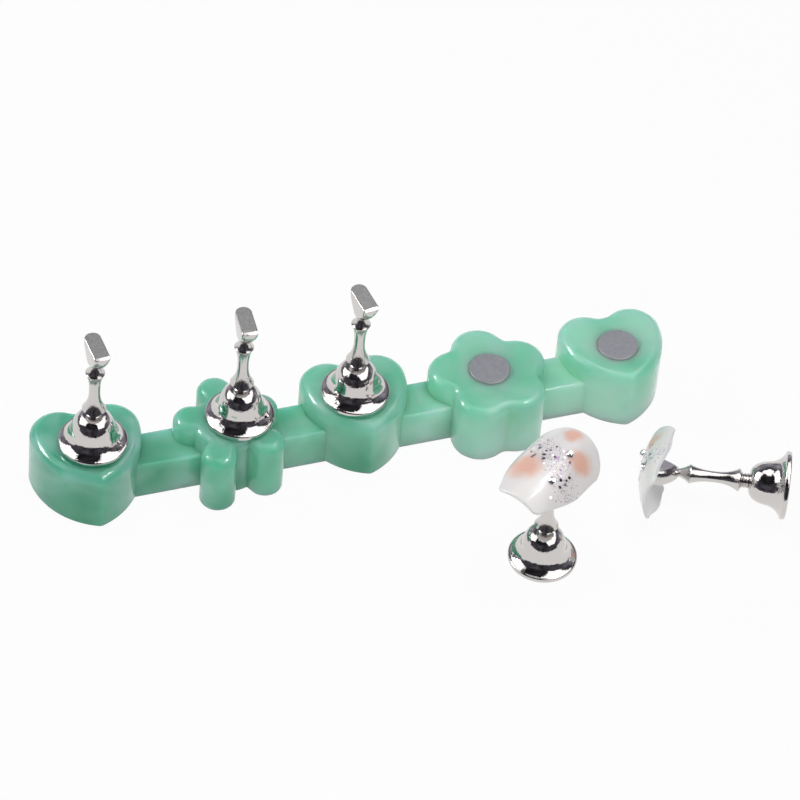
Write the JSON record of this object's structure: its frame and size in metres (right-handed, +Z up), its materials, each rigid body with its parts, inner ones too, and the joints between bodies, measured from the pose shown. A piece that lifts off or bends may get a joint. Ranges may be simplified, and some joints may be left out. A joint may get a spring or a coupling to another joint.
{
  "type": "nail practice stand",
  "caption": "Cast resin bar of hearts and flowers with flush steel discs, on which small magnetic metal stands hold practice nail tips while they are painted.",
  "frame": {"origin": "middle of the bar's underside, on the table", "axes": "+X along the bar, +Y to its back, +Z up"},
  "size_m": [0.1418, 0.0608, 0.0397],
  "materials": {
    "jade_resin": "cloudy translucent cast resin, glossy",
    "disc_steel": "dull plated steel disc",
    "magnet_nickel": "nickel-plated magnet",
    "plated_zinc": "bright plated die casting, platform top brushed",
    "nail_plastic": "milky translucent plastic, glossy",
    "putty": "soft reusable putty",
    "stone_glass": "faceted, mirror-backed"
  },
  "bodies": {
    "base": {"base_bar": "jade_resin", "base_disc_1": "disc_steel", "base_disc_2": "disc_steel", "base_disc_3": "disc_steel", "base_disc_4": "disc_steel", "base_disc_5": "disc_steel"},
    "foot_1": {"foot_magnet_1": "magnet_nickel"},
    "holder_1": {"holder_1": "plated_zinc"},
    "foot_2": {"foot_magnet_2": "magnet_nickel"},
    "holder_2": {"holder_2": "plated_zinc"},
    "foot_3": {"foot_magnet_3": "magnet_nickel"},
    "holder_3": {"holder_3": "plated_zinc"},
    "foot_4": {"foot_magnet_4": "magnet_nickel"},
    "holder_4": {"holder_4": "plated_zinc", "putty_pad_4": "putty"},
    "holder_5": {"holder_5": "plated_zinc", "foot_magnet_5": "magnet_nickel", "putty_pad_5": "putty"},
    "nail_4": {"nail_tip_4": "nail_plastic", "stone_4a": "stone_glass", "stone_4b": "stone_glass"},
    "nail_5": {"nail_tip_5": "nail_plastic", "stone_5a": "stone_glass", "stone_5b": "stone_glass"}
  },
  "joints": [
    {"name": "lift_1", "type": "slide", "parent": "base", "child": "foot_1", "axis": [0, 0, 1], "range_m": [0, 0.03]},
    {"name": "turn_1", "type": "hinge", "parent": "foot_1", "child": "holder_1", "pos_m": [-0.0533, -0.0004, 0.0133], "axis": [0, 0, 1], "continuous": true},
    {"name": "lift_2", "type": "slide", "parent": "base", "child": "foot_2", "axis": [0, 0, 1], "range_m": [0, 0.03]},
    {"name": "turn_2", "type": "hinge", "parent": "foot_2", "child": "holder_2", "pos_m": [-0.0243, -0.0007, 0.0133], "axis": [0, 0, 1], "continuous": true},
    {"name": "lift_3", "type": "slide", "parent": "base", "child": "foot_3", "axis": [0, 0, 1], "range_m": [0, 0.03]},
    {"name": "turn_3", "type": "hinge", "parent": "foot_3", "child": "holder_3", "pos_m": [-0.001, -0.0002, 0.0133], "axis": [0, 0, 1], "continuous": true},
    {"name": "lift_4", "type": "slide", "parent": "base", "child": "foot_4", "axis": [0, 0, 1], "range_m": [0, 0.03]},
    {"name": "turn_4", "type": "hinge", "parent": "foot_4", "child": "holder_4", "pos_m": [0.0253, -0.0385, 0], "axis": [0, 0, 1], "continuous": true},
    {"name": "lift_5", "type": "slide", "parent": "base", "child": "holder_5", "axis": [0, 0, 1], "range_m": [0, 0.03]},
    {"name": "peel_nail_4", "type": "slide", "parent": "holder_4", "child": "nail_4", "axis": [0, 0, 1], "range_m": [0, 0.008]},
    {"name": "peel_nail_5", "type": "slide", "parent": "holder_5", "child": "nail_5", "axis": [-0.9191, 0.3939, 0.0072], "range_m": [0, 0.008]}
  ]
}
